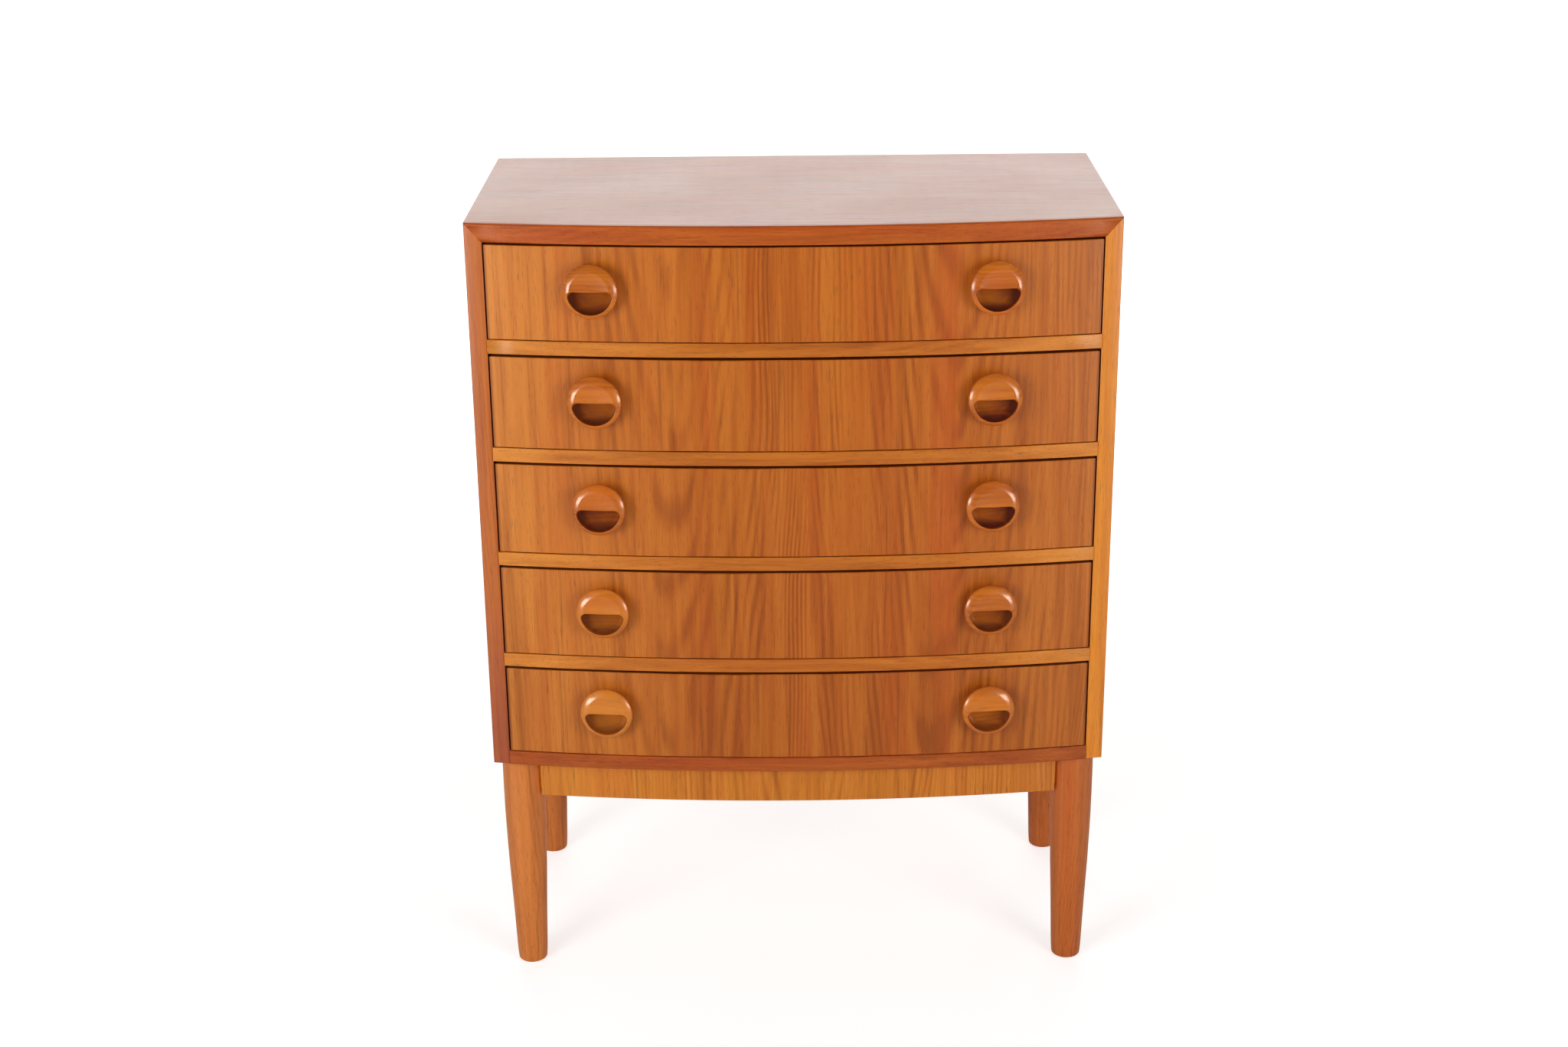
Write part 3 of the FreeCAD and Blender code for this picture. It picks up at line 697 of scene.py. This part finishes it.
def set_screws(name, radius, places, body):
    """One screw at each place, as one piece that rides on a body."""
    head = screw_head(name + "_head", radius)
    copies = []
    for place in places:
        piece = copy_of(head, name)
        piece.matrix_world = place
        apply_place(piece)
        copies.append(piece)
    bpy.data.objects.remove(head)
    deselect()
    for piece in copies:
        piece.select_set(True)
    bpy.context.view_layer.objects.active = copies[0]
    bpy.ops.object.join()
    copies[0].name = name
    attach(copies[0], body)


knob_screw_radius = 0.0045
front_thickness = 0.020
inner_radius = front_radius - front_thickness
for number in range(1, 6):
    height = centre_of("drawer_%d_left_knob" % number).z
    places = []
    for side in (-1, 1):
        inside_x = side * inner_radius * math.sin(knob_tilt)
        inside_y = bow_centre - inner_radius * math.cos(knob_tilt)
        turn = (Matrix.Rotation(side * knob_tilt, 4, "Z") @ Matrix.Rotation(math.radians(-90), 4, "X")
                @ Matrix.Rotation(0.7 * number + side, 4, "Z"))
        places.append(Matrix.Translation((inside_x, inside_y, height)) @ turn)
    set_screws("drawer_%d_knob_screws" % number, knob_screw_radius, places, "drawer_%d" % number)

panel_low, panel_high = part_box("back_panel")
panel_screw_radius = 0.0034
panel_edge = 0.0042
panel_step_up = 0.18
panel_step_across = 0.22
lowest_screw = panel_low[2] + 0.06
across = [panel_low[0] + panel_edge, panel_high[0] - panel_edge]
spots = [(x, lowest_screw + panel_step_up * step) for x in across for step in range(4)]
spots += [(panel_step_across * step, panel_high[2] - panel_edge) for step in (-1, 0, 1)]
spots += [(panel_step_across * step, panel_low[2] + panel_edge) for step in (-1, 0, 1)]
set_screws("back_panel_screws", panel_screw_radius, [
    Matrix.Translation((x, panel_high[1], z)) @ Matrix.Rotation(math.radians(-90), 4, "X")
    @ Matrix.Rotation(1.3 * x + 5.0 * z, 4, "Z") for x, z in spots], "carcass")

block_low, block_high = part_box("fixing_blocks")
base_screw_radius = 0.0045
glue_block_width = 0.020
glue_block_length = 0.060
block_x = block_high[0] - glue_block_width / 2
block_ys = (block_low[1] + glue_block_length / 2, block_high[1] - glue_block_length / 2)
set_screws("base_screws", base_screw_radius, [
    Matrix.Translation((side * block_x, y, block_low[2])) @ Matrix.Rotation(math.radians(180), 4, "X")
    @ Matrix.Rotation(side + 9.0 * y, 4, "Z") for side in (-1, 1) for y in block_ys], "carcass")


# Legs: turned teak, fullest near the head and drawn in towards a rounded foot.
# They are solid, with upright grain, and carry the carcass on their heads.
# Painted light: the legs are mixed paler towards the left of the chest.
leg_finish = wood("teak_legs", "XYZ", (163, 79, 26), (194, 101, 40), (213, 122, 54), shift=(0.7, 0.2, 0.1),
                  figure=0.20, tilt=0.02, ends=(1.0, 0.0))
leg_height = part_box("front_left_leg")[1][2]
leg_places = [(0.0, 0.0178), (0.018, 0.0188), (0.073, 0.0207), (0.131, 0.0231), (0.175, 0.0244),
              (0.200, 0.0249), (0.225, 0.0252), (0.262, 0.0252), (leg_height, 0.0250)]


def leg_radius(height):
    """Radius of the leg at this height, on straight lines between its places."""
    for (low_z, low_r), (high_z, high_r) in zip(leg_places, leg_places[1:]):
        if height <= high_z:
            share = (height - low_z) / (high_z - low_z)
            return low_r + (high_r - low_r) * share
    return leg_places[-1][1]


foot_round = 0.003
leg_tip = 0.0008
leg_steps = 40
leg_profile = [(leg_tip, 0.0)]
leg_profile += rounded_corner(leg_radius(0.0) - foot_round, foot_round, foot_round, -90, 0, 6)
for step in range(1, leg_steps + 1):
    height = foot_round + (leg_height - foot_round) * step / leg_steps
    leg_profile.append((leg_radius(height), height))
leg_profile.append((leg_tip, leg_height))
leg = turned("leg", leg_profile, round_sides)
smooth(leg, 40)
leg.data.materials.append(leg_finish)
for word in ("front_left", "front_right", "back_left", "back_right"):
    middle = centre_of(word + "_leg")
    piece = copy_of(leg, "turned_leg_" + word)
    piece.matrix_world = Matrix.Translation((middle.x, middle.y, 0.0))
    apply_place(piece)
    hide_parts(word + "_leg")
    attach(piece, "carcass")
bpy.data.objects.remove(leg)


# Aprons of the base frame: boards veneered with upright grain, the front one bent to the bow. Each has a
# tenon at both ends, glued into the legs.
# Painted light: the aprons are mixed a little paler towards the left of the chest.
apron_finish = wood("teak_aprons", "XYZ", (178, 96, 22), (204, 119, 34), (220, 136, 46),
                    shift=(0.2, 0.1, 0.6), figure=0.24, drift=0.9, ends=(0.5, 0.0))
finished("front_apron", "carcass", apron_finish)
finish_with(["back_apron", "left_apron", "right_apron"], apron_finish)


# Studio: a plain pale floor, soft lamps to the left and right, and a pale room all round.
# The floor fades to white away from the chest, so that no horizon shows, and keeps the chest's shadow.
def seen_straight(signal):
    """1 where the camera looks at this signal's material itself, or through glass, and not by a mirror."""
    straight = signal.node("ShaderNodeLightPath", {}, {}, "Is Camera Ray")
    return straight + signal.node("ShaderNodeLightPath", {}, {}, "Is Transmission Ray")


floor_size = 40.0
fade_start = 0.5
fade_end = 2.2
near_glow = 0.57
deselect()
bpy.ops.mesh.primitive_plane_add(size=floor_size, location=(0.0, 0.0, 0.0))
floor = named("floor")
floor_material, floor_shader, floor_place = new_material("floor_paint")
floor_tint = floor_place.noise(2.0, 2.0, 0.5)
floor_colour = floor_tint.node("ShaderNodeValToRGB", {"stops": [
    (0.3, (0.80, 0.80, 0.80, 1.0)), (0.7, (0.83, 0.83, 0.83, 1.0)),
]}, {"Fac": floor_tint})
feed(floor_shader, "Base Color", floor_colour)
floor_shader.inputs["Roughness"].default_value = 0.8
distance = floor_place.node("ShaderNodeVectorMath", {"operation": "LENGTH"}, {0: floor_place}, "Value")
glow = distance.between(fade_start, fade_end) * (1.0 - near_glow) + near_glow
feed(floor_shader, "Emission Color", glow * seen_straight(floor_place))
floor_shader.inputs["Emission Strength"].default_value = 1.0
floor.data.materials.append(floor_material)

# The room is plain grey to the lamps' light. Seen straight, and mirrored behind the chest, it is white.
room_light = 0.28
world = bpy.data.worlds.new("room")
bpy.context.scene.world = world
world.use_nodes = True
world_tree = world.node_tree
background = world_tree.nodes["Background"]
towards = Signal(world_tree, world_tree.nodes.new("ShaderNodeTexCoord").outputs["Generated"])
mirrored = towards.node("ShaderNodeLightPath", {}, {}, "Is Glossy Ray")
behind = towards.part("Y").between(-0.1, 0.3)
strength = seen_straight(towards) + mirrored * behind
strength = strength * (1.0 - room_light) + room_light
world_tree.links.new(strength.socket, background.inputs["Strength"])
background.inputs["Color"].default_value = (1.0, 1.0, 1.0, 1.0)


def lamp(name, place, aim, size, power):
    """Soft lamp that faces a point."""
    deselect()
    bpy.ops.object.light_add(type="AREA", location=place)
    made = bpy.context.object
    made.name = name
    made.data.shape = "RECTANGLE"
    made.data.size = size[0]
    made.data.size_y = size[1]
    made.data.energy = power
    made.visible_camera = False
    direction = Vector(aim) - Vector(place)
    made.rotation_euler = direction.to_track_quat("-Z", "Y").to_euler()
    return made


# Each side has a soft box for the even light, and a lower one, under the level of the top, that only shows
# in the polish. A third one behind lights the top and the edges.
warm_white = (1.0, 0.93, 0.82)
for side, even_power, shine_power in ((-1, 25.0, 45.0), (1, 20.5, 36.0)):
    even_lamp = lamp("even_light", (1.6 * side, -2.0, 1.15), (0.0, -0.1, 0.75), (1.1, 1.1), even_power)
    even_lamp.visible_glossy = False
    shine_lamp = lamp("shine", (1.9 * side, -1.5, 0.61), (0.0, -0.1, 0.55), (1.0, 0.68), shine_power)
    shine_lamp.visible_diffuse = False
    shine_lamp.data.color = warm_white
back_lamp = lamp("back_lamp", (0.0, 3.4, 2.3), (0.0, 0.0, 0.9), (3.4, 1.8), 36.5)
back_lamp.data.color = (1.0, 0.98, 0.92)

# The camera stands a little above the chest, nearly straight in front of it, and looks down at it.
camera_heading = 0.003
camera_drop = 0.358
camera_roll = -0.010
camera_data = bpy.data.cameras.new("camera")
camera_data.sensor_width = 36.0
camera_data.lens = 53.82
camera = bpy.data.objects.new("camera", camera_data)
bpy.context.scene.collection.objects.link(camera)
camera.location = (-0.0061, -2.7296, 1.5587)
turn = (Matrix.Rotation(camera_heading, 3, "Z") @ Matrix.Rotation(math.pi / 2 - camera_drop, 3, "X")
        @ Matrix.Rotation(camera_roll, 3, "Z"))
camera.rotation_euler = turn.to_euler()
bpy.context.scene.camera = camera
bpy.context.scene.view_settings.view_transform = "Standard"
